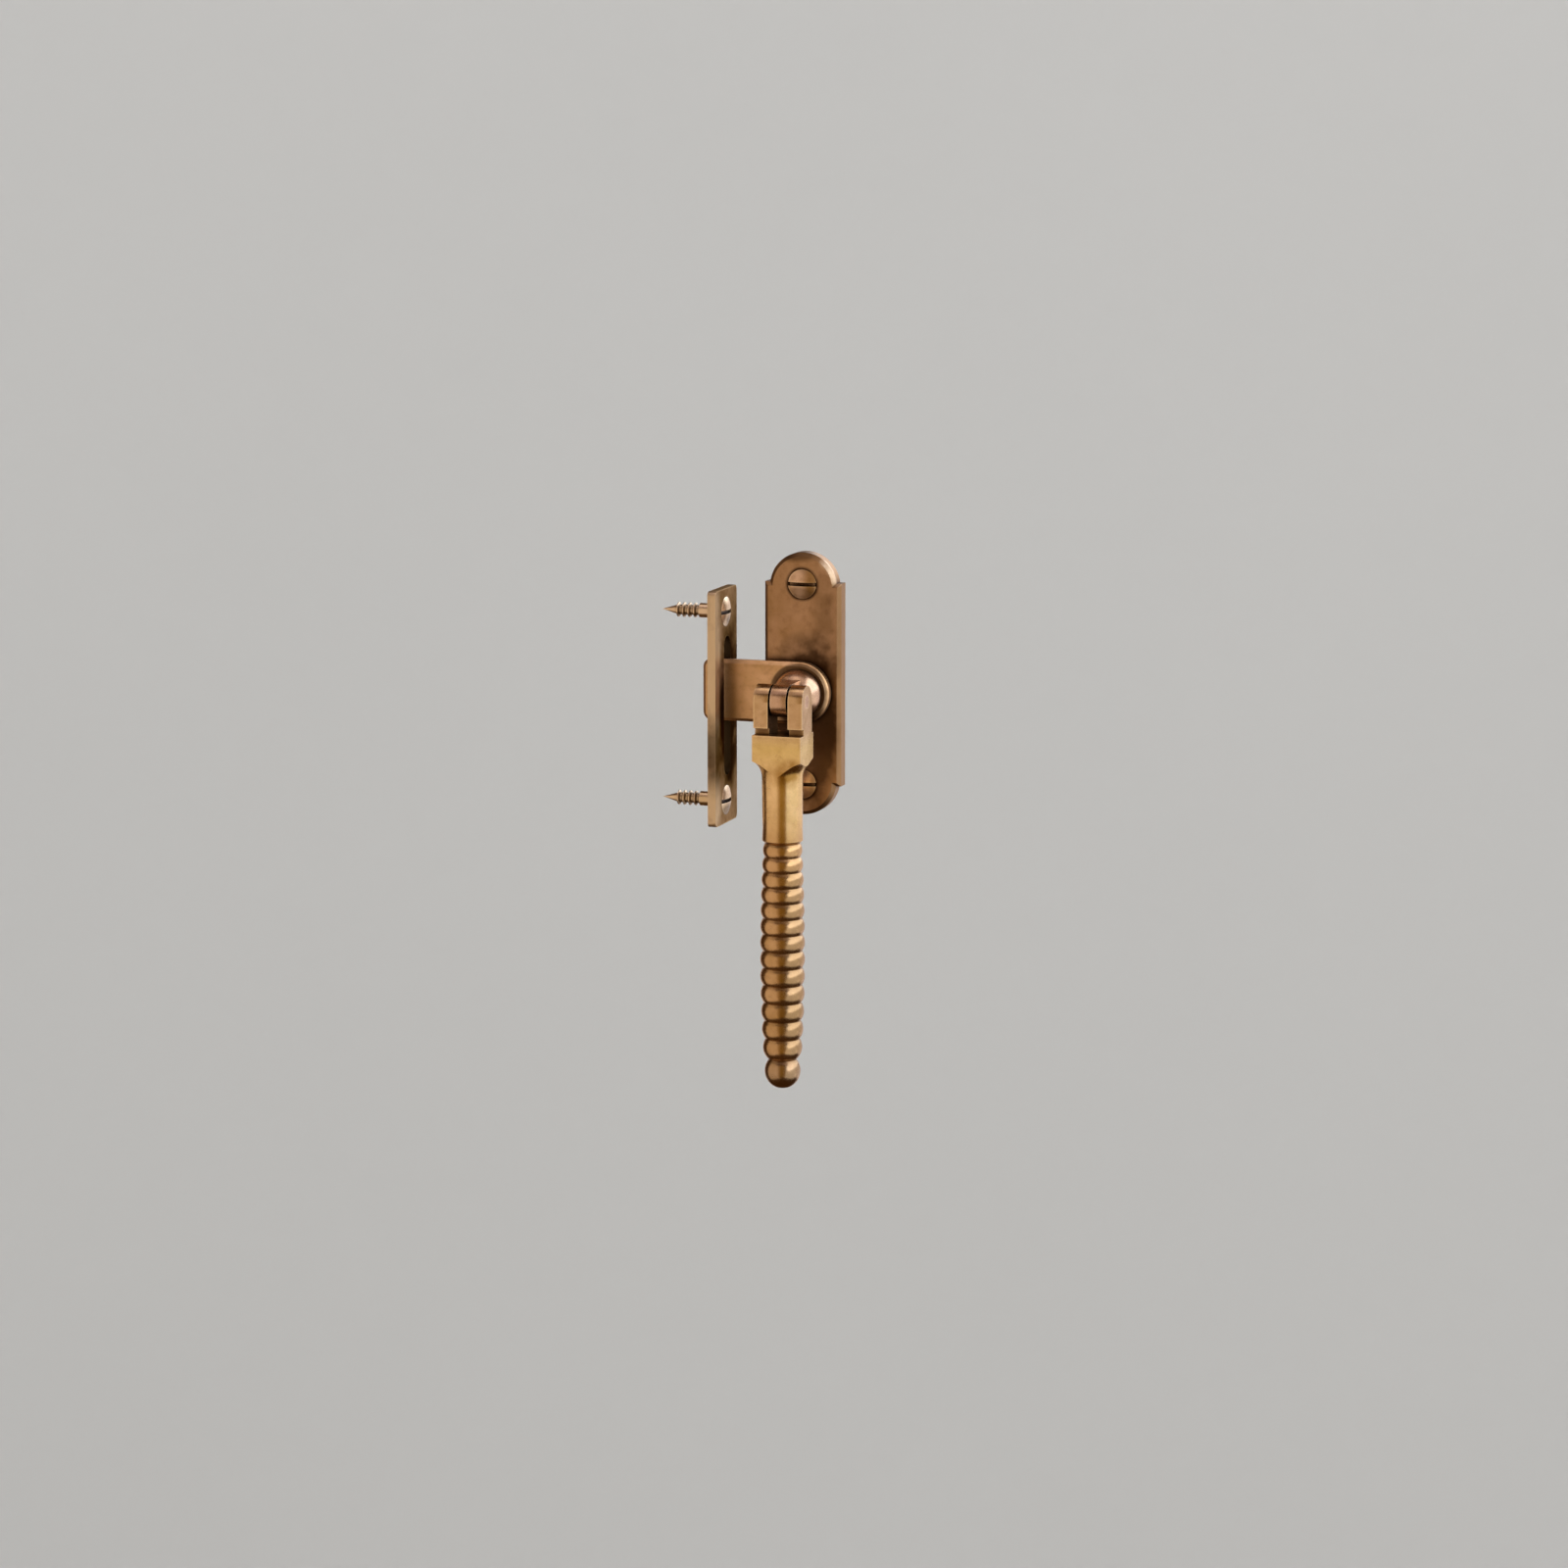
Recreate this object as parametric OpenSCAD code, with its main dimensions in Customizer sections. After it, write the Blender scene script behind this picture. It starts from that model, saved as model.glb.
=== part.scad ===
// Casement window fastener: a reeded handle hangs from the forked knuckle of a spindle, and turning
// the spindle swings a flat latch arm into a mortice keep plate.
// Millimetres. The origin is in the middle of the backplate's back face. The room is towards -Y, X runs
// to the right and Z runs up. It is drawn latched, with the handle hanging.

/* [Backplate] */
// Height over the arched ends
plate_h = 63; // [62:0.2:65]
// Height of the straight sides
plate_straight = 48.6; // [48:0.2:49]
// Distance between the two screws
plate_pitch = 48; // [47:0.2:49]
// Width
plate_w = 19; // [18:0.5:22]
// Thickness
plate_t = 4; // [4:0.1:5]
// Bevel round the front edge
plate_bevel = 0.9; // [0.4:0.1:1]
// How far the arched ends are set in from each side
plate_shoulder = 1.2; // [0.9:0.1:1.6]

/* [Latch arm] */
// Height of the arm, and width of its round eye
arm_h = 14.8; // [14:0.2:16]
// Reach of the arm's tip from the spindle's axis
arm_reach = 24; // [22:0.5:24]
// Thickness at the eye
arm_t = 2.8; // [2.6:0.1:3]
// How much thinner the arm is at the back, to pass over the lower screw head
arm_relief = 0.8; // [0.8:0.1:1]
// Radius of the two corners of the tip
tip_r = 2; // [1.5:0.1:3]
// Bevel round the front edge
arm_bevel = 0.8; // [0.4:0.1:0.9]

/* [Spindle] */
// How far the spindle's axis is below the middle of the backplate
spindle_drop = 1.8; // [0:0.1:2.5]
// Radius of the domed head
dome_r = 5.8; // [5.4:0.1:6.2]
// Radius of the round journal in the backplate
journal_r = 3.95; // [3.9:0.05:4]
// Side of the square neck that carries the arm
square_w = 5.4; // [5:0.1:5.4]
// Radius of the thin tail in the back pocket
tail_r = 3; // [2.8:0.1:3.2]
// Thickness of the lug between the fork's cheeks
lug_w = 3.9; // [3.6:0.1:4.1]
// Distance from the front of the backplate to the handle's pin
pin_stand = 15; // [14.5:0.1:16]
// Radius of the pin
pin_r = 1.6; // [1.4:0.1:1.8]

/* [Handle] */
// Width over the fork's cheeks
fork_w = 12; // [11.6:0.1:12.6]
// Width of the fork's slot
fork_slot = 4.9; // [4.7:0.1:5.2]
// Radius of the rounded top of each cheek
cheek_r = 3.85; // [3.7:0.05:4]
// Front to back depth of the solid block below the slot
block_d = 9.9; // [9.9:0.1:10.4]
// Drop from the pin to the top of the block
block_drop = 7.8; // [7.6:0.1:9]
// Drop from the pin to the bottom of the cove
cove_drop = 18.2; // [17.6:0.1:19]
// Radius of the cove between the block and the shaft
cove_r = 4.5; // [4.2:0.1:4.8]
// Radius of the plain shaft below the cove
shaft_r = 4.9; // [4.8:0.02:4.9]
// Drop from the pin to the first groove of the grip
grip_drop = 33.9; // [32:0.1:38]
// Number of turned beads
bead_n = 13; // [11:1:15]
// Length of the top bead
bead_top = 3.45; // [3.4:0.05:3.8]
// Length of the bottom bead
bead_bottom = 4.48; // [4.4:0.02:4.8]
// Radius of the fattest bead
belly_r = 5.35; // [5.3:0.05:5.8]
// Which bead is the fattest
belly_bead = 8; // [6:1:9]
// How much smaller the end beads are in radius
bead_taper = 0.65; // [0.4:0.05:0.8]
// Radius of the ball end
ball_r = 4.3; // [4.2:0.05:4.6]

/* [Keep plate] */
// Height
keep_h = 56.5; // [56:0.5:64]
// Front to back width
keep_w = 16; // [15:0.5:18]
// Thickness
keep_t = 2; // [2:0.1:2.5]
// Distance from the spindle's axis to the keep's face
keep_stand = 17.7; // [17:0.1:18]
// How far the keep's middle is below the spindle's axis
keep_below = 3.6; // [2:0.1:5]
// Length of the slot
slot_h = 33.5; // [32:0.5:34]
// Width of the slot
slot_w = 4.8; // [4.8:0.1:5.2]
// Distance between the keep's screws
keep_pitch = 45.4; // [45:0.2:48]

/* [Screws] */
// Radius of the heads
head_r = 3.5; // [3.2:0.1:3.5]
// Radius of the shanks
shank_r = 1.75; // [1.6:0.05:1.8]
// How far the domed heads stand proud
head_dome = 0.75; // [0.5:0.05:0.8]
// Width of the driver slot
driver_w = 0.9; // [0.7:0.1:1]
// Depth of the driver slot
driver_d = 1.2; // [1:0.1:1.3]
// Length of the backplate's screws, from the plate's face
plate_screw_l = 19; // [16:1:25]
// Length of the keep's screws, from the keep's face
keep_screw_l = 16; // [13:1:20]
// Distance from one thread to the next
thread_pitch = 1.4; // [1.2:0.1:1.6]

/* [Washers and clip] */
// Thickness of the washer between the backplate and the arm
thrust_t = 0.26; // [0.2:0.02:0.3]
// Depth of the pocket in the backplate's back
pocket_d = 2.2; // [2.2:0.1:2.3]
// Radius of that pocket
pocket_r = 7; // [6.9:0.1:7.2]
// Thickness of the spring washer's steel
spring_t = 0.3; // [0.2:0.05:0.3]
// Height that the spring washer is dished to
spring_rise = 0.4; // [0.3:0.05:0.4]
// Thickness of the cover washer
cover_t = 0.4; // [0.3:0.05:0.4]
// Thickness of the clip
clip_t = 0.6; // [0.5:0.05:0.6]

/* [Hidden] */
$fn = 96;

// Colours
PLATE = [0.52, 0.36, 0.24];
ARM = [0.56, 0.37, 0.22];
BRIGHT = [0.80, 0.60, 0.38];
SCREW = [0.62, 0.43, 0.27];
STEEL = [0.62, 0.62, 0.60];

// Clearances: radial in a turning fit, flat between faces, and round a fixed piece
RUN = 0.05;
FACE = 0.02;
EASE = 0.1;
// Overshoot of a cutting shape past the face that it cuts
CUT = 1;

// Backplate
front_y = -plate_t;
shoulder_z = plate_straight / 2;
arch_r = plate_w / 2 - plate_shoulder;
arch_z = plate_h / 2 - arch_r;
plate_screw_z = plate_pitch / 2;

// Latch arm
arm_back_y = front_y - thrust_t - 2 * FACE;
arm_front_y = arm_back_y - arm_t;
relief_from = arm_h / 2 + 1.2;

// Spindle
pin_y = front_y - pin_stand;
groove_r = 2.4;
groove_w = clip_t + 0.05;
tail_end = 0.1;

// Back pocket, from its floor towards the back face
spring_y = -pocket_d + FACE;
cover_y = spring_y + spring_t + spring_rise + FACE;
clip_y = cover_y + cover_t + FACE;
washer_r = pocket_r - 0.5;

// Handle: the shadow line under the cheeks, the turned shaft and the grip
line_h = 1.6;
line_d = 1.3;
waist_r = shaft_r - 0.15;
collar_r = shaft_r - 0.02;
collar_bevel = 0.7;
waist_end = 3.5;
grip_core_r = 3;
bead_step = (bead_bottom - bead_top) / (bead_n - 1);
// Radius of each bead's outline, as a share of its length
bead_round = 0.82;
ball_sink = 0.8;
ball_flat = 0.4;

// Keep plate
keep_y = -keep_w / 2;
keep_slot_y = -7.2;
keep_corner = 1.2;

// Screws
head_land = 0.12;
neck_r = shank_r + EASE;
countersink = head_r - neck_r;
root_r = 0.68 * shank_r;
thread_from = 0.4;
point_l = 3;
// One turn of the thread: how far out from root to crest, and how far along the turn
THREAD = [[0, 0.2], [0, 0.55], [1, 0.8], [1, 0.95]];

// Drop from the pin to groove i of the grip, where groove 0 is above the first bead
function groove_drop(i) = grip_drop + i * bead_top + bead_step * i * (i - 1) / 2;
function bead_len(i) = bead_top + bead_step * i;
// How far bead i is from the fattest bead, as a share of the way to the end on its side
function off_belly(i) = (i - (belly_bead - 1)) / (i < belly_bead - 1 ? belly_bead - 1 : bead_n - belly_bead);
function bead_r(i) = belly_r - bead_taper * pow(off_belly(i), 2);
ball_z = -groove_drop(bead_n) - ball_r + ball_sink;

// A piece that is drawn about the spindle's axis
module on_axis() {
    translate([0, 0, -spindle_drop]) children();
}

// An outline drawn in X and Z, standing from Y = from towards the room by depth
module facing(from, depth) {
    translate([0, from, 0]) rotate([90, 0, 0]) linear_extrude(depth) children();
}

// An outline drawn in Y and Z, standing from X = from to the right by depth
module sideways(from, depth) {
    translate([from, 0, 0]) rotate([90, 0, 90]) linear_extrude(depth) children();
}

module rounded_rect(w, h, r) {
    square([w - 2 * r, h], center = true);
    square([w, h - 2 * r], center = true);
    for (x = [-1, 1], z = [-1, 1]) translate([x * (w / 2 - r), z * (h / 2 - r)]) circle(r);
}

// A disc standing up from Z = 0, with its top edge bevelled
module bevelled_disc(r, t, bevel) {
    rotate_extrude() polygon([[0, 0], [r, 0], [r, t - bevel], [r - bevel, t], [0, t]]);
}

// A flat washer on the spindle, from Y = from towards the back
module washer(from, inner_r, outer_r, t) {
    on_axis() facing(from + t, t) difference() {
        circle(outer_r);
        circle(inner_r);
    }
}

// A slotted raised countersunk wood screw along Z, with the rim of its head at Z = 0. Its neck tapers
// to the shank within a plate of thickness grip.
module wood_screw(length, grip, slot_turn) {
    cap_r = (head_r * head_r + head_dome * head_dome) / (2 * head_dome);
    thread_top = length * thread_from;
    turns = floor((length - thread_top - point_l) / thread_pitch);
    difference() {
        union() {
            rotate_extrude() intersection() {
                translate([0, head_dome - cap_r]) circle(cap_r);
                square([head_r, 2 * head_dome]);
            }
            rotate_extrude() polygon([
                [0, 0], [head_r, 0], [head_r, -head_land], [neck_r, -head_land - countersink],
                [shank_r, -grip], [shank_r, -thread_top],
                for (i = [0 : turns - 1], p = THREAD)
                    [root_r + p[0] * (shank_r - root_r), -thread_top - (i + p[1]) * thread_pitch],
                [root_r, -thread_top - turns * thread_pitch], [0, -length]
            ]);
        }
        rotate([0, 0, slot_turn]) translate([0, 0, head_dome + CUT - (driver_d + CUT) / 2])
            cube([3 * head_r, driver_w, driver_d + CUT], center = true);
    }
}

// The hole that the screw's head beds in, with the rim of the head at Z = 0
module screw_seat(depth) {
    hole_r = neck_r + 2 * EASE;
    rotate_extrude() polygon([
        [0, CUT], [head_r + EASE, CUT], [head_r + EASE, -head_land - FACE],
        [hole_r, -head_land - FACE - (head_r + EASE - hole_r)], [hole_r, -depth - CUT], [0, -depth - CUT]
    ]);
}

module backplate() {
    color(PLATE) difference() {
        union() {
            facing(0, plate_t - plate_bevel) square([plate_w, plate_straight], center = true);
            // Bevelled front of the straight part
            intersection() {
                translate([0, 0, -shoulder_z]) linear_extrude(plate_straight) polygon([
                    [-plate_w / 2, front_y + plate_bevel], [-plate_w / 2 + plate_bevel, front_y],
                    [plate_w / 2 - plate_bevel, front_y], [plate_w / 2, front_y + plate_bevel]
                ]);
                sideways(-plate_w, 2 * plate_w) polygon([
                    [front_y + plate_bevel, -shoulder_z], [front_y, -shoulder_z + plate_bevel],
                    [front_y, shoulder_z - plate_bevel], [front_y + plate_bevel, shoulder_z]
                ]);
            }
            // Arched ends
            for (side = [-1, 1]) translate([0, 0, side * arch_z]) rotate([90, 0, 0])
                bevelled_disc(arch_r, plate_t, plate_bevel);
        }
        on_axis() facing(CUT, plate_t + 2 * CUT) circle(journal_r + RUN);
        on_axis() facing(CUT, pocket_d + CUT) circle(pocket_r);
        for (side = [-1, 1]) translate([0, front_y, side * plate_screw_z]) rotate([90, 0, 0])
            screw_seat(plate_t);
    }
}

module backplate_screws() {
    color(SCREW) for (side = [-1, 1])
        translate([0, front_y, side * plate_screw_z]) rotate([90, 0, 0])
            wood_screw(plate_screw_l, plate_t, 0);
}

// A stretch of the arm that ends at the spindle's axis, with its back at Y = back
module arm_bar(length, back) {
    sideways(-length, length) polygon([
        [back, -arm_h / 2], [arm_front_y + arm_bevel, -arm_h / 2],
        [arm_front_y, -arm_h / 2 + arm_bevel], [arm_front_y, arm_h / 2 - arm_bevel],
        [arm_front_y + arm_bevel, arm_h / 2], [back, arm_h / 2]
    ]);
}

module latch_arm() {
    thin_back_y = arm_back_y - arm_relief;
    tip_z = arm_h / 2 - tip_r;
    color(ARM) on_axis() difference() {
        union() {
            // Eye and the start of the arm, at full thickness
            translate([0, arm_back_y, 0]) rotate([90, 0, 0]) bevelled_disc(arm_h / 2, arm_t, arm_bevel);
            arm_bar(relief_from, arm_back_y);
            // The rest, thinned at the back
            arm_bar(arm_reach - tip_r, thin_back_y);
            // Tip, with two rounded corners
            translate([0, 0, -tip_z]) linear_extrude(2 * tip_z) polygon([
                [-arm_reach, thin_back_y], [-arm_reach, arm_front_y + arm_bevel],
                [-arm_reach + arm_bevel, arm_front_y], [-arm_reach + tip_r, arm_front_y],
                [-arm_reach + tip_r, thin_back_y]
            ]);
            for (side = [-1, 1]) translate([-arm_reach + tip_r, thin_back_y, side * tip_z])
                rotate([90, 0, 0]) bevelled_disc(tip_r, arm_t - arm_relief, arm_bevel);
        }
        facing(0, plate_t + 3 * arm_t) square(square_w + 2 * RUN, center = true);
    }
}

module spindle() {
    color(BRIGHT) on_axis() difference() {
        union() {
            // Domed head
            translate([0, arm_front_y - FACE, 0]) rotate([90, 0, 0]) rotate_extrude() intersection() {
                circle(dome_r);
                square(dome_r + CUT);
            }
            // Lug, with its round end about the pin
            sideways(-lug_w / 2, lug_w) union() {
                translate([pin_y, 0]) circle(cheek_r);
                translate([pin_y, -cheek_r]) square([pin_stand - arm_t - CUT, 2 * cheek_r]);
            }
            // Square neck in the arm's eye
            facing(arm_back_y, arm_t + CUT) square(square_w, center = true);
            // Journal in the backplate, then the tail with the groove for the clip
            rotate([90, 0, 0]) rotate_extrude() polygon([
                [0, tail_end], [tail_r, tail_end], [tail_r, FACE - clip_y - groove_w],
                [groove_r, FACE - clip_y - groove_w], [groove_r, FACE - clip_y], [tail_r, FACE - clip_y],
                [tail_r, pocket_d], [journal_r, pocket_d], [journal_r, FACE - arm_back_y],
                [0, FACE - arm_back_y]
            ]);
        }
        translate([0, pin_y, 0]) rotate([0, 90, 0]) cylinder(r = pin_r + RUN, h = 3 * lug_w, center = true);
    }
}

module thrust_washer() {
    color(STEEL) washer(front_y - FACE - thrust_t, journal_r + RUN, arm_h / 2 - 0.6, thrust_t);
}

module spring_washer() {
    inner_r = tail_r + EASE;
    color(STEEL) on_axis() translate([0, spring_y, 0]) rotate([-90, 0, 0]) rotate_extrude() polygon([
        [inner_r, spring_rise], [washer_r, 0], [washer_r, spring_t], [inner_r, spring_rise + spring_t]
    ]);
}

module cover_washer() {
    color(STEEL) washer(cover_y, tail_r + EASE, washer_r, cover_t);
}

// An E-clip: a ring open below, with three prongs that reach into the spindle's groove
module retaining_clip() {
    ring_r = tail_r + 0.4;
    rim_r = tail_r + 1.5;
    prong_w = 1.8;
    mouth_w = 3.6;
    color(STEEL) on_axis() facing(clip_y + clip_t, clip_t) difference() {
        union() {
            difference() {
                circle(rim_r);
                circle(ring_r);
                translate([-mouth_w / 2, -2 * rim_r]) square([mouth_w, 2 * rim_r]);
            }
            for (turn = [0, 90, 180]) rotate(turn)
                translate([groove_r - EASE, -prong_w / 2]) square([ring_r - groove_r + 2 * EASE, prong_w]);
        }
        circle(groove_r + FACE);
    }
}

// Half of the handle's turned outline, from the cove's flare down to the ball
module turned_half() {
    intersection() {
        union() {
            // Flare of the cove
            difference() {
                translate([0, -cove_drop]) square([shaft_r + 0.9 * cove_r, cove_drop - block_drop]);
                translate([shaft_r + cove_r, -cove_drop]) circle(cove_r);
            }
            // Plain shaft, waisted above a small collar
            polygon([
                [0, -cove_drop], [shaft_r, -cove_drop], [waist_r, -grip_drop + waist_end],
                [collar_r, -grip_drop + collar_bevel], [collar_r - collar_bevel, -grip_drop],
                [0, -grip_drop]
            ]);
            // Grip: beads on a core
            translate([0, ball_z]) square([grip_core_r, -ball_z - grip_drop + CUT]);
            for (i = [0 : bead_n - 1]) {
                round_r = bead_round * bead_len(i);
                translate([bead_r(i) - round_r, -groove_drop(i) - bead_len(i) / 2]) circle(round_r);
            }
            // Ball, with a small flat below
            intersection() {
                translate([0, ball_z]) circle(ball_r);
                translate([0, ball_z - ball_r + ball_flat]) square([ball_r, 2 * ball_r]);
            }
        }
        translate([0, 2 * ball_z]) square([2 * belly_r, -2 * ball_z]);
    }
}

module handle() {
    color(BRIGHT) on_axis() translate([0, pin_y, 0]) difference() {
        union() {
            // Cheeks
            sideways(-fork_w / 2, fork_w) union() {
                circle(cheek_r);
                translate([-cheek_r, -block_drop - CUT]) square([2 * cheek_r, block_drop + CUT]);
            }
            // Square block, cut to the turned outline, and the turned shaft and grip
            intersection() {
                rotate_extrude() turned_half();
                union() {
                    translate([-fork_w / 2, -block_d / 2, -cove_drop])
                        cube([fork_w, block_d, cove_drop]);
                    translate([-fork_w, -fork_w, 2 * ball_z])
                        cube([2 * fork_w, 2 * fork_w, -2 * ball_z - cove_drop]);
                }
            }
        }
        // Slot for the lug
        translate([-fork_slot / 2, -block_d, -block_drop]) cube([fork_slot, 2 * block_d, 2 * block_drop]);
        // Shadow line between the cheeks and the block
        translate([-fork_w, -block_d, -block_drop])
            cube([2 * fork_w, block_d - cheek_r + line_d, line_h]);
        rotate([0, 90, 0]) cylinder(r = pin_r, h = 2 * fork_w, center = true);
    }
}

module pivot_pin() {
    color(BRIGHT) on_axis() translate([0, pin_y, 0]) rotate([0, 90, 0])
        cylinder(r = pin_r, h = fork_w, center = true);
}

module keep_plate() {
    color(PLATE) on_axis() difference() {
        sideways(-keep_stand - keep_t, keep_t) difference() {
            translate([keep_y, -keep_below]) rounded_rect(keep_w, keep_h, keep_corner);
            translate([keep_slot_y, -keep_below]) union() {
                square([slot_w, slot_h - slot_w], center = true);
                for (side = [-1, 1]) translate([0, side * (slot_h - slot_w) / 2]) circle(slot_w / 2);
            }
        }
        for (side = [-1, 1]) translate([-keep_stand, keep_y, -keep_below + side * keep_pitch / 2])
            rotate([0, 90, 0]) screw_seat(keep_t);
    }
}

module keep_screws() {
    color(SCREW) on_axis() for (side = [-1, 1])
        translate([-keep_stand, keep_y, -keep_below + side * keep_pitch / 2]) rotate([0, 90, 0])
            wood_screw(keep_screw_l, keep_t, 90);
}

backplate();
backplate_screws();
latch_arm();
spindle();
thrust_washer();
spring_washer();
cover_washer();
retaining_clip();
handle();
pivot_pin();
keep_plate();
keep_screws();
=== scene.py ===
"""Looks of the reeded casement window fastener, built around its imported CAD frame.

Metres, in the frame's own axes: the origin is in the middle of the backplate's back face, the room is
at -Y, X is right and Z is up.
"""
import math

import bmesh
import bpy
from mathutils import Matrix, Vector


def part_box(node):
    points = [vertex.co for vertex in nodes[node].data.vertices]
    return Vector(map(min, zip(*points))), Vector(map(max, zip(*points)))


MM = 0.001

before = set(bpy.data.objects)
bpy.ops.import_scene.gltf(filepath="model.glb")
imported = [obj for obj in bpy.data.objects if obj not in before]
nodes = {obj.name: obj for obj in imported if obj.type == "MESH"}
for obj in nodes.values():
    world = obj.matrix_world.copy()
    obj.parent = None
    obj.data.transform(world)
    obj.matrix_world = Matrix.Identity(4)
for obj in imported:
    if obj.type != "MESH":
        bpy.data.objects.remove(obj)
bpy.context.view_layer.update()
scene = bpy.context.scene


# ---------------------------------------------------------------- camera

AZIMUTH = math.radians(18)
ELEVATION = math.radians(9.5)
DISTANCE = 1.2
SENSOR = 36.0
FIELD = 373 * MM            # width of what the camera sees at the backplate
AIM_LEFT = 4.3 * MM         # the plate's middle is this far right of the picture's middle
AIM_BELOW = 23.7 * MM       # and this far above it


def make_camera():
    """A long lens right of and above the fastener, aimed a little below and left of the backplate."""
    back = Vector((math.sin(AZIMUTH) * math.cos(ELEVATION),
                   -math.cos(AZIMUTH) * math.cos(ELEVATION),
                   math.sin(ELEVATION)))
    right = Vector((math.cos(AZIMUTH), math.sin(AZIMUTH), 0))
    up = back.cross(right)
    plate_low, plate_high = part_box("backplate")
    plate_front = Vector((0, plate_low.y, (plate_low.z + plate_high.z) / 2))
    target = plate_front - right * AIM_LEFT - up * AIM_BELOW
    data = bpy.data.cameras.new("camera")
    data.sensor_width = SENSOR
    data.lens = SENSOR * DISTANCE / FIELD
    data.clip_start = 0.01
    data.clip_end = 20
    camera = bpy.data.objects.new("camera", data)
    camera.location = target + back * DISTANCE
    camera.rotation_euler = (-back).to_track_quat("-Z", "Y").to_euler()
    scene.collection.objects.link(camera)
    scene.camera = camera


make_camera()


# ---------------------------------------------------------------- materials

# How the fine scratches are stretched along the axes
EVEN = (1, 1, 1)
ALONG_X = (0.08, 1, 1)
ALONG_Z = (1, 1, 0.08)
ROUND_Z = (0.10, 0.10, 1.6)
SCREW_GRAIN = (1, 0.1, 1)
KEEP_SCREW_GRAIN = (0.1, 1, 1)


class Graph:
    """Short calls for making and linking shader nodes."""

    def __init__(self, name):
        self.material = bpy.data.materials.new(name)
        self.material.use_nodes = True
        self.tree = self.material.node_tree
        self.shader = self.tree.nodes["Principled BSDF"]

    def add(self, kind, **settings):
        node = self.tree.nodes.new("ShaderNode" + kind)
        for key, value in settings.items():
            setattr(node, key, value)
        return node

    def link(self, source, target):
        self.tree.links.new(source, target)

    def position(self, scale):
        """Object coordinates, stretched by scale."""
        coordinates = self.add("TexCoord")
        mapping = self.add("Mapping")
        mapping.inputs["Scale"].default_value = scale
        self.link(coordinates.outputs["Object"], mapping.inputs["Vector"])
        return mapping.outputs["Vector"]

    def flat(self, colour):
        """The same colour everywhere."""
        output = self.add("RGB").outputs[0]
        output.default_value = (*colour, 1)
        return output

    def noise(self, vector, scale, detail=4.0, roughness=0.55):
        node = self.add("TexNoise")
        node.inputs["Scale"].default_value = scale
        node.inputs["Detail"].default_value = detail
        node.inputs["Roughness"].default_value = roughness
        self.link(vector, node.inputs["Vector"])
        return node.outputs["Fac"]

    def ramp(self, factor, stops):
        """stops: (position, grey or colour) pairs."""
        node = self.add("ValToRGB")
        elements = node.color_ramp.elements
        while len(elements) < len(stops):
            elements.new(0.5)
        for element, (place, value) in zip(elements, stops):
            element.position = place
            element.color = (*value, 1) if isinstance(value, tuple) else (value, value, value, 1)
        self.link(factor, node.inputs["Fac"])
        return node.outputs["Color"]

    def mix(self, factor, first, second, blend="MIX"):
        node = self.add("Mix", data_type="RGBA", blend_type=blend)
        for value, socket in ((factor, node.inputs[0]), (first, node.inputs[6]), (second, node.inputs[7])):
            if isinstance(value, (int, float)):
                socket.default_value = value if socket.type == "VALUE" else (value, value, value, 1)
            elif isinstance(value, tuple):
                socket.default_value = (*value, 1)
            else:
                self.link(value, socket)
        return node.outputs[2]

    def math(self, operation, first, second):
        node = self.add("Math", operation=operation)
        for value, socket in ((first, node.inputs[0]), (second, node.inputs[1])):
            if isinstance(value, (int, float)):
                socket.default_value = value
            else:
                self.link(value, socket)
        return node.outputs[0]

    def shelter(self, distance, inside=False):
        """0 deep in a recess, 1 in the open. Inside, it is 1 on a flat face and falls at a sharp edge."""
        node = self.add("AmbientOcclusion", inside=inside, samples=8)
        node.inputs["Distance"].default_value = distance
        return node.outputs["AO"]

    def height(self, low, high):
        """0 at the height low and below, 1 at the height high and above."""
        split = self.add("SeparateXYZ")
        self.link(self.add("TexCoord").outputs["Object"], split.inputs["Vector"])
        node = self.add("MapRange")
        node.inputs["From Min"].default_value = low
        node.inputs["From Max"].default_value = high
        self.link(split.outputs["Z"], node.inputs["Value"])
        return node.outputs["Result"]

    def blot(self, middle, radii, ragged):
        """1 at the middle of an ellipsoid, 0 outside it, with its outline broken up by a noise."""
        mapping = self.add("Mapping")
        mapping.inputs["Scale"].default_value = [1 / r for r in radii]
        mapping.inputs["Location"].default_value = [-m / r for m, r in zip(middle, radii)]
        self.link(self.add("TexCoord").outputs["Object"], mapping.inputs["Vector"])
        node = self.add("TexGradient", gradient_type="SPHERICAL")
        self.link(mapping.outputs["Vector"], node.inputs["Vector"])
        uneven = self.math("SUBTRACT", self.math("MULTIPLY", ragged, 3.0), 0.5)
        return self.math("MULTIPLY", node.outputs["Fac"], uneven)

    def slant(self, low, high):
        """0 where the surface faces the room or the wall squarely, 1 where it slants away."""
        split = self.add("SeparateXYZ")
        self.link(self.add("TexCoord").outputs["Normal"], split.inputs["Vector"])
        return self.ramp(self.math("ABSOLUTE", split.outputs["Y"], 0.0), [(low, 1.0), (high, 0.0)])


# How large the marks on the brass are, as noise scales
CLOUD_SCALE = 160
BLOTCH_SCALE = 620
SPECK_SCALE = 2600
SCRATCH_SCALE = 900
# How far patina and painted shade spread out of a crease, how far painted shade spreads out of a hollow and
# under nearby parts, and how wide an edge is worn
CREASE_REACH = 1.8 * MM
HOLLOW_SHADE_REACH = 6 * MM
EDGE_WEAR = 0.5 * MM
# What clouds and spots multiply the brass by
CLOUD_TINT = (0.82, 0.79, 0.66)
SPOT_TINT = (0.50, 0.42, 0.36)
# How much rougher blotches, recesses and scratches are
BLOTCH_ROUGHER = 0.12
RECESS_ROUGHER = 0.25
SCRATCH_ROUGHER = 0.08
BUMP_STRENGTH = 0.10
BUMP_DEPTH = 0.10 * MM


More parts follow.
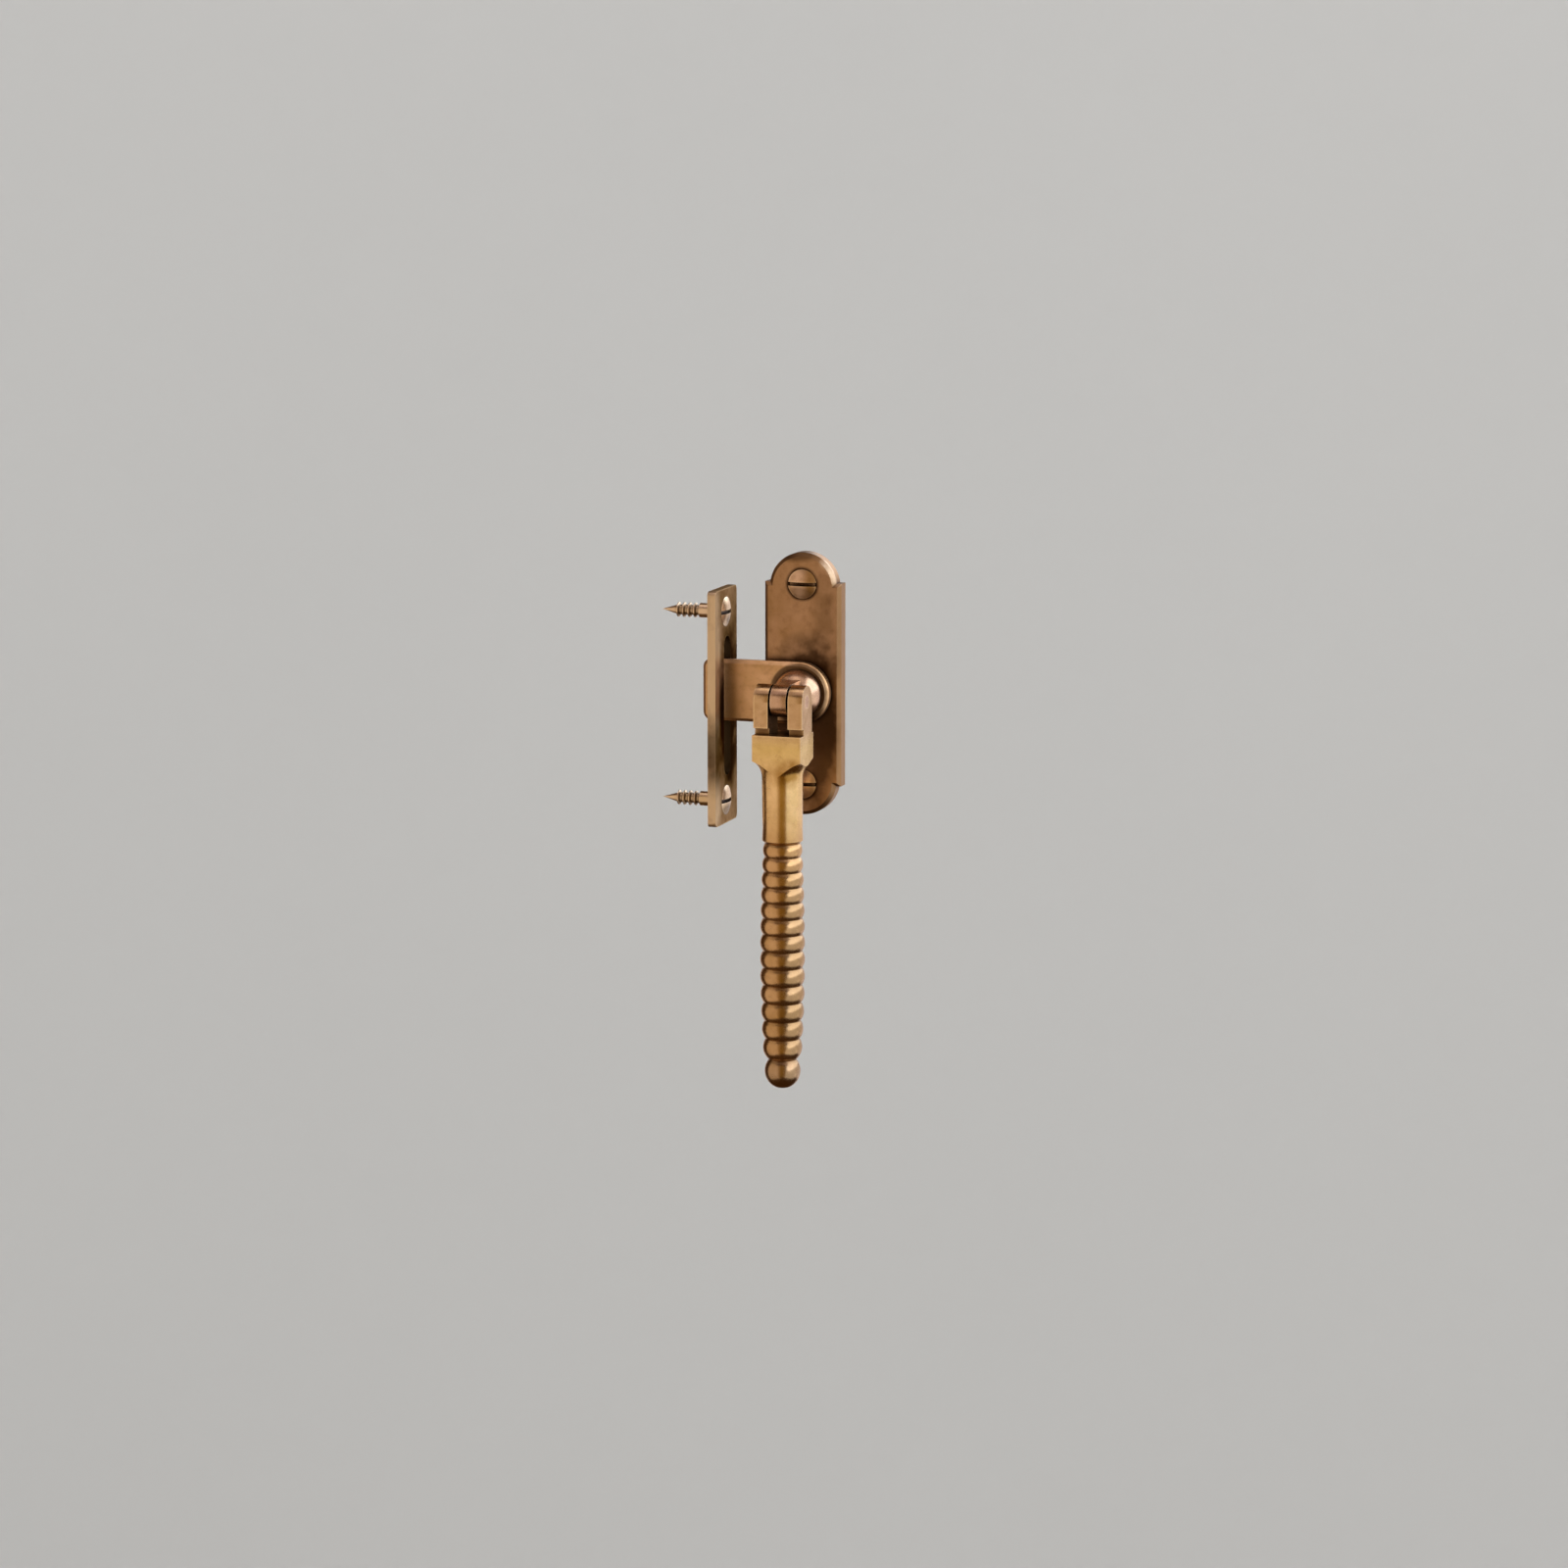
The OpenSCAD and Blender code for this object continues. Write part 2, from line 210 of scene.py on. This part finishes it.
def aged_brass(name, bright, worn, dark, roughness, grain, tones=None, patches=(), tarnish=0.5,
               rubbed_bevels=False, grazing=None):
    """Satin brass with a brown patina and painted shade in the recesses and under nearby parts, worn brighter
    on the edges.

    bright, worn and dark are linear colours, dark being that of the recesses' patina and painted shade, and
    grain stretches the fine scratches along an axis. tones is a pair of heights and the colours between them,
    to use in place of bright. patches are pairs of a tone and its blots, such as dirt, painted shade or a
    painted highlight, each blot being (middle, radii, softness, strength). tarnish is how strong the small
    spots are, and grazing tints what the metal mirrors edge-on.
    """
    g = Graph(name)
    even = g.position(EVEN)
    clouds = g.noise(even, CLOUD_SCALE, 3)
    blotches = g.noise(even, BLOTCH_SCALE, 5, 0.62)
    specks = g.noise(even, SPECK_SCALE, 3, 0.7)
    scratches = g.noise(g.position(grain), SCRATCH_SCALE, 3, 0.6)

    # The clean brass, clouded and spotted
    if tones:
        (low, high), stops = tones
        plain = g.ramp(g.height(low, high), stops)
    else:
        plain = g.flat(bright)
    body = g.mix(g.ramp(clouds, [(0.35, 0.0), (0.68, 1.0)]), plain, g.mix(1.0, plain, CLOUD_TINT, "MULTIPLY"))
    brown = g.mix(1.0, plain, SPOT_TINT, "MULTIPLY")
    spots = g.math("MULTIPLY", g.ramp(blotches, [(0.50, 0.0), (0.72, 1.0)]), tarnish)
    patina = g.mix(spots, body, brown)
    pits = g.math("MULTIPLY", g.ramp(specks, [(0.60, 0.0), (0.70, 1.0)]), 0.7 * tarnish)
    patina = g.mix(pits, patina, brown)

    # Worn edges and bevels, then the patches of dirt, painted shade and painted highlights, then the dark
    # recesses, partly patina and partly painted shade, over everything
    edges = g.ramp(g.shelter(EDGE_WEAR, inside=True), [(0.55, 1.0), (0.90, 0.0)])
    wear_and_patches = g.mix(g.math("MULTIPLY", edges, 0.8), patina, worn)
    if rubbed_bevels:
        wear_and_patches = g.mix(g.math("MULTIPLY", g.slant(0.75, 0.92), 0.9), wear_and_patches, worn)
    for tone, blots in patches:
        for middle, radii, softness, strength in blots:
            blot = g.ramp(g.blot(middle, radii, clouds), [(0.0, 0.0), (softness, 1.0)])
            wear_and_patches = g.mix(g.math("MULTIPLY", blot, strength), wear_and_patches, tone)
    # The recess mask: patina and painted shade in the creases, painted shade in the hollows and under nearby
    # parts
    crease = g.ramp(g.shelter(CREASE_REACH), [(0.45, 1.0), (0.95, 0.0)])
    hollow_shade = g.math("MULTIPLY", g.ramp(g.shelter(HOLLOW_SHADE_REACH), [(0.30, 1.0), (0.75, 0.0)]), 0.9)
    recess_patina_and_shade = g.math("MAXIMUM", crease, hollow_shade)
    colour = g.mix(recess_patina_and_shade, wear_and_patches, dark)

    base = g.ramp(blotches, [(0.30, roughness), (0.75, roughness + BLOTCH_ROUGHER)])
    rough = g.mix(recess_patina_and_shade, base, roughness + RECESS_ROUGHER)
    fine = g.mix(g.ramp(scratches, [(0.35, 0.0), (0.75, 1.0)]), rough, roughness + SCRATCH_ROUGHER)

    relief = g.math("ADD", g.math("MULTIPLY", scratches, 0.6), g.math("MULTIPLY", blotches, 0.8))
    bump = g.add("Bump")
    bump.inputs["Strength"].default_value = BUMP_STRENGTH
    bump.inputs["Distance"].default_value = BUMP_DEPTH
    g.link(relief, bump.inputs["Height"])

    g.shader.inputs["Metallic"].default_value = 1.0
    if grazing:
        g.shader.inputs["Specular Tint"].default_value = (*grazing, 1)
    g.link(colour, g.shader.inputs["Base Color"])
    g.link(fine, g.shader.inputs["Roughness"])
    g.link(bump.outputs["Normal"], g.shader.inputs["Normal"])
    return g.material


def plain_steel(name, tone, roughness):
    """Zinc-grey steel with fine turning marks."""
    g = Graph(name)
    blotches = g.noise(g.position(EVEN), 700, 4)
    colour = g.mix(g.ramp(blotches, [(0.4, 0.0), (0.7, 1.0)]), tone, tuple(0.72 * c for c in tone))
    g.shader.inputs["Metallic"].default_value = 1.0
    g.link(colour, g.shader.inputs["Base Color"])
    g.link(g.ramp(blotches, [(0.3, roughness), (0.8, roughness + 0.15)]), g.shader.inputs["Roughness"])
    return g.material


def plain_paint(name, colour):
    """Matt paint, very slightly uneven."""
    g = Graph(name)
    tint = g.noise(g.position(EVEN), 3, 2)
    g.link(g.mix(g.ramp(tint, [(0.3, 0.0), (0.7, 1.0)]), colour, tuple(0.985 * c for c in colour)),
           g.shader.inputs["Base Color"])
    g.shader.inputs["Roughness"].default_value = 0.9
    g.shader.inputs["Specular IOR Level"].default_value = 0.2
    return g.material


# Linear colours of dirt, of patina, of painted shade, and of painted highlights and painted light
DARK = (0.034, 0.014, 0.006)
BLACK_PATINA_AND_SHADE = (0.036, 0.024, 0.012)
RED_BROWN = (0.10, 0.042, 0.010)
COVE_SHADE = (0.40, 0.20, 0.03)
GRIP_SHADE = (0.32, 0.22, 0.13)
ARCH_HIGHLIGHT = (0.80, 0.62, 0.44)
KEEP_LIT = (0.86, 0.68, 0.47)

# The handle's colour by height, from its ball end up to its cheeks: darker over the ball and the beads and
# brightest on the shaft and the block, partly the brass's own tone and partly painted shade
handle_low, handle_high = (corner.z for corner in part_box("handle"))
handle_tones = ((handle_low, handle_high), [
    (0.03, (0.50, 0.34, 0.22)), (0.10, (0.62, 0.39, 0.20)), (0.60, (0.70, 0.44, 0.225)),
    (0.67, (0.90, 0.63, 0.34)), (0.78, (0.93, 0.66, 0.34)), (0.85, (0.96, 0.72, 0.33)),
    (0.89, (0.71, 0.48, 0.28)),
])

PATCH_DEPTH = 3.6 * MM      # less than the plate's thickness, so that its back stays clean
arm_low, arm_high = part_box("latch_arm")
spindle_low, spindle_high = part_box("spindle")
knuckle_z = (spindle_low.z + spindle_high.z) / 2
dome_r = spindle_high.x
plate_low, plate_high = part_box("backplate")
front_y = plate_low.y
arch_r = plate_high.x
screws_low, screws_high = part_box("backplate_screws")
head_r = screws_high.x
screw_z = screws_high.z - head_r
keep_low, keep_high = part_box("keep_plate")
keep_y = (keep_low.y + keep_high.y) / 2
keep_z = (keep_low.z + keep_high.z) / 2
keep_screws_low, keep_screws_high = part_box("keep_screws")

# Darker patches on the backplate: dirt in the gap round each screw's head; a painted shadow of the knuckle
# and the handle behind them; painted shade above the arm, along the bottom and below the arm; and darker
# along the top and on the right above the arm
plate_dirt_and_shade = [((0, front_y, side * screw_z), (1.25 * head_r,) * 3, 0.16, 0.9) for side in (-1, 1)] + [
    ((3.2 * MM, front_y, knuckle_z - 9 * MM), (6.8 * MM, PATCH_DEPTH, 20 * MM), 0.36, 0.74),
    ((1.5 * MM, front_y, arm_high.z), (9 * MM, PATCH_DEPTH, 8 * MM), 0.6, 0.78),
    ((0, front_y, plate_low.z), (13 * MM, PATCH_DEPTH, 13 * MM), 0.9, 0.45),
    ((-2 * MM, front_y, plate_high.z), (9 * MM, PATCH_DEPTH, 2.6 * MM), 0.6, 0.6),
    ((plate_high.x - 3.5 * MM, front_y, 14 * MM), (5 * MM, PATCH_DEPTH, 20 * MM), 0.8, 0.32),
    ((-4.5 * MM, front_y, arm_low.z - 1.5 * MM), (5 * MM, PATCH_DEPTH, 5 * MM), 0.3, 0.95),
]

# A painted highlight on the bevel of its upper arch, on the right
ARCH_TURNS = [math.radians(turn) for turn in (22, 36, 50)]
arch_highlights = [
    ((arch_r * math.cos(turn), front_y, plate_high.z - arch_r + arch_r * math.sin(turn)),
     (2.1 * MM,) * 3, 0.4, 0.7)
    for turn in ARCH_TURNS
]

# Painted shade, golden brown, in the handle's cove, and painted shade on the right of its grip that dims what
# it mirrors there
handle_cove_shade = [
    ((3.8 * MM, -24 * MM, -18.6 * MM), (4.8 * MM, 5 * MM, 4.2 * MM), 0.45, 0.85),
    ((-1 * MM, -24 * MM, -18.5 * MM), (5 * MM, 5 * MM, 3.5 * MM), 0.8, 0.4),
]
grip_right_shade = [((5 * MM, -21 * MM, -70 * MM), (5 * MM, 8 * MM, 38 * MM), 0.4, 0.5)]

# Painted shade on the eye of the arm below the dome and on the knuckle below the lug, under the handle, and a
# dark ring round the dome
arm_shade_and_ring = [
    ((0, arm_low.y, knuckle_z - dome_r), (1.1 * dome_r, dome_r, 0.6 * dome_r), 0.4, 0.9),
    ((0, arm_low.y, knuckle_z), (1.27 * dome_r,) * 3, 0.06, 0.72),
]
knuckle_shade = [((0, arm_low.y - 0.7 * dome_r, knuckle_z - 0.8 * dome_r), (0.9 * dome_r,) * 3, 0.45, 0.95)]

# Painted shade on the keep, black round its slot and dark along the edge nearer the sash and below the arm,
# and painted light along the edge nearer the room, where the light falls on it
keep_shade = [
    ((keep_high.x, keep_y + 1.2 * MM, keep_z), (5 * MM, 7 * MM, 25 * MM), 0.35, 0.95),
    ((keep_high.x, keep_high.y, keep_z), (6 * MM, 8 * MM, 36 * MM), 0.7, 0.85),
    ((keep_high.x, keep_low.y, keep_z - 11 * MM), (6 * MM, 7 * MM, 11 * MM), 0.6, 0.65),
]
keep_lit_strips = [((keep_high.x, keep_low.y, z), (4 * MM, 5 * MM, height), 0.5, 0.9)
             for z, height in ((keep_z + 11 * MM, 26 * MM), (keep_low.z + 5 * MM, 10 * MM))]

# Painted shade on the lower half of each screw's head
screw_shade = [((0, front_y, side * screw_z - 0.6 * head_r), (1.2 * head_r, head_r, 0.7 * head_r), 0.6, 0.5)
                for side in (-1, 1)]
keep_screw_shade = [
    ((keep_high.x, keep_y, z - 0.6 * head_r), (head_r, 1.2 * head_r, 0.7 * head_r), 0.6, 0.7)
    for z in (keep_screws_low.z + head_r, keep_screws_high.z - head_r)
]

PLATE = aged_brass("plate_brass", (0.55, 0.335, 0.195), (0.34, 0.195, 0.092), DARK, 0.36, ALONG_Z,
                   patches=[(DARK, plate_dirt_and_shade), (ARCH_HIGHLIGHT, arch_highlights)], tarnish=0.35, rubbed_bevels=True)
ARM = aged_brass("arm_brass", (0.82, 0.53, 0.31), (0.88, 0.62, 0.40), DARK, 0.34, ALONG_X,
                 patches=[(DARK, arm_shade_and_ring)], tarnish=0.35)
HANDLE = aged_brass("handle_brass", None, (0.92, 0.70, 0.42), RED_BROWN, 0.19, ROUND_Z, tones=handle_tones,
                    patches=[(COVE_SHADE, handle_cove_shade), (GRIP_SHADE, grip_right_shade)], tarnish=0.3)
KNUCKLE = aged_brass("knuckle_brass", (0.72, 0.48, 0.345), (0.90, 0.66, 0.46), DARK, 0.21, EVEN,
                     patches=[(DARK, knuckle_shade)], tarnish=0.35)
KEEP = aged_brass("keep_brass", (0.44, 0.30, 0.19), (0.75, 0.58, 0.38), BLACK_PATINA_AND_SHADE, 0.40, ALONG_Z,
                  patches=[(KEEP_LIT, keep_lit_strips), (BLACK_PATINA_AND_SHADE, keep_shade)], tarnish=0.8,
                  grazing=(0.34, 0.29, 0.22))
SCREW = aged_brass("screw_brass", (0.74, 0.50, 0.35), (0.85, 0.60, 0.38), DARK, 0.26, SCREW_GRAIN,
                   patches=[(DARK, screw_shade)])
KEEP_SCREW = aged_brass("keep_screw_brass", (0.90, 0.70, 0.50), (0.92, 0.74, 0.54), DARK, 0.24,
                        KEEP_SCREW_GRAIN, patches=[(DARK, keep_screw_shade)], tarnish=0.3)
STEEL = plain_steel("spring_steel", (0.45, 0.44, 0.42), 0.32)
FINISH = {
    "backplate": PLATE, "keep_plate": KEEP, "latch_arm": ARM, "handle": HANDLE, "pivot_pin": KNUCKLE,
    "spindle": KNUCKLE, "backplate_screws": SCREW, "keep_screws": KEEP_SCREW, "thrust_washer": STEEL,
    "spring_washer": STEEL, "cover_washer": STEEL, "retaining_clip": STEEL,
}
for node, finish in FINISH.items():
    nodes[node].data.materials.clear()
    nodes[node].data.materials.append(finish)


# ---------------------------------------------------------------- softened edges

def soften(node, width, segments=3, angle=28):
    """Rounds the edges of a CAD node: its faces are first welded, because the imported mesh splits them."""
    target = nodes[node]
    weld = target.modifiers.new("weld", "WELD")
    weld.merge_threshold = 0.0005 * MM
    bevel = target.modifiers.new("bevel", "BEVEL")
    bevel.width = width
    bevel.segments = segments
    bevel.limit_method = "ANGLE"
    bevel.angle_limit = math.radians(angle)
    bevel.use_clamp_overlap = True
    bevel.miter_outer = "MITER_ARC"


# How wide each piece's rounded edges are, in mm. The backplate isn't rounded, because the bevel folded the
# faces round its pocket and its countersinks.
EDGES = {"keep_plate": 0.25, "latch_arm": 0.25, "spindle": 0.22, "handle": 0.22, "pivot_pin": 0.15}
for node, width in EDGES.items():
    soften(node, width * MM)


# ---------------------------------------------------------------- stage and light

ROOM_LOW = (-2.5, -2.5, -0.95)
ROOM_HIGH = (2.5, 0.9, 2.4)
ROOM_CORNER = 0.35
PALE = (0.62, 0.615, 0.605)
SOFTBOX_AWAY = 1.3


def make_room():
    """A pale room with rounded corners, large enough for every view."""
    mesh = bmesh.new()
    bmesh.ops.create_cube(mesh, size=1)
    for corner in mesh.verts:
        corner.co = [high if c > 0 else low for c, low, high in zip(corner.co, ROOM_LOW, ROOM_HIGH)]
    bmesh.ops.bevel(mesh, geom=mesh.edges[:], offset=ROOM_CORNER, segments=12, profile=0.5,
                    affect="EDGES", clamp_overlap=True)
    bmesh.ops.reverse_faces(mesh, faces=mesh.faces[:])
    for face in mesh.faces:
        face.smooth = True
    data = bpy.data.meshes.new("room")
    mesh.to_mesh(data)
    data.materials.append(plain_paint("pale_paint", PALE))
    room = bpy.data.objects.new("room", data)
    # The brass mirrors the softboxes and a dim world, as it would in a far larger room
    room.visible_glossy = False
    room.visible_shadow = False
    scene.collection.objects.link(room)


def softbox(name, azimuths, elevations, radiance, colour, on_brass=True, distance=SOFTBOX_AWAY):
    """A rectangular light that fills those angles, in degrees, as the object sees them.

    Azimuth 0 is the front and 90 the right. The light shows in the brass, or else only lights the room.
    """
    azimuth, elevation = (math.radians(sum(pair) / 2) for pair in (azimuths, elevations))
    width, height = (2 * distance * math.tan(math.radians(pair[1] - pair[0]) / 2)
                     for pair in (azimuths, elevations))
    away = Vector((math.sin(azimuth) * math.cos(elevation),
                   -math.cos(azimuth) * math.cos(elevation),
                   math.sin(elevation)))
    data = bpy.data.lights.new(name, "AREA")
    data.shape = "RECTANGLE"
    data.size, data.size_y = width, height
    data.energy = radiance * math.pi * width * height
    data.color = colour
    light = bpy.data.objects.new(name, data)
    light.location = away * distance
    light.rotation_euler = (-away).to_track_quat("-Z", "Y").to_euler()
    light.visible_camera = False
    light.visible_diffuse = not on_brass
    light.visible_glossy = on_brass
    scene.collection.objects.link(light)


def make_world(colour, strength):
    world = bpy.data.worlds.new("dim_world")
    world.use_nodes = True
    background = world.node_tree.nodes["Background"]
    background.inputs["Color"].default_value = (*colour, 1)
    background.inputs["Strength"].default_value = strength
    scene.world = world


make_room()
softbox("left_window", (-85, -12), (-46, 38), 0.67, (1.0, 0.84, 0.68))
softbox("amber_curtain", (-12, 0), (-46, 38), 0.36, (1.0, 0.74, 0.42))
softbox("warm_wall", (0, 36), (-36, 40), 0.19, (1.0, 0.62, 0.06))
softbox("right_garden", (38, 110), (-44, 8), 0.82, (1.0, 1.0, 0.95))
softbox("right_glare", (110, 152), (-34, 8), 0.80, (1.0, 0.96, 0.95))
softbox("right_sky", (50, 190), (8, 58), 2.30, (0.90, 0.94, 1.0))
softbox("rear_window", (152, 230), (-40, 8), 0.70, (1.0, 0.93, 0.93))
softbox("overhead", (-40, 40), (52, 100), 0.45, (1.0, 0.84, 0.84))
softbox("ceiling_lamp", (-45, 5), (74, 90), 0.80, (1.0, 0.90, 0.80))
softbox("room_front", (-40, 40), (5, 50), 1.72, (1.0, 1.0, 1.0), on_brass=False, distance=2.3)
softbox("room_top", (-38, 38), (60, 120), 1.50, (1.0, 1.0, 1.0), on_brass=False, distance=2.2)
make_world((1.0, 0.43, 0.10), 0.07)
scene.view_settings.view_transform = "Standard"
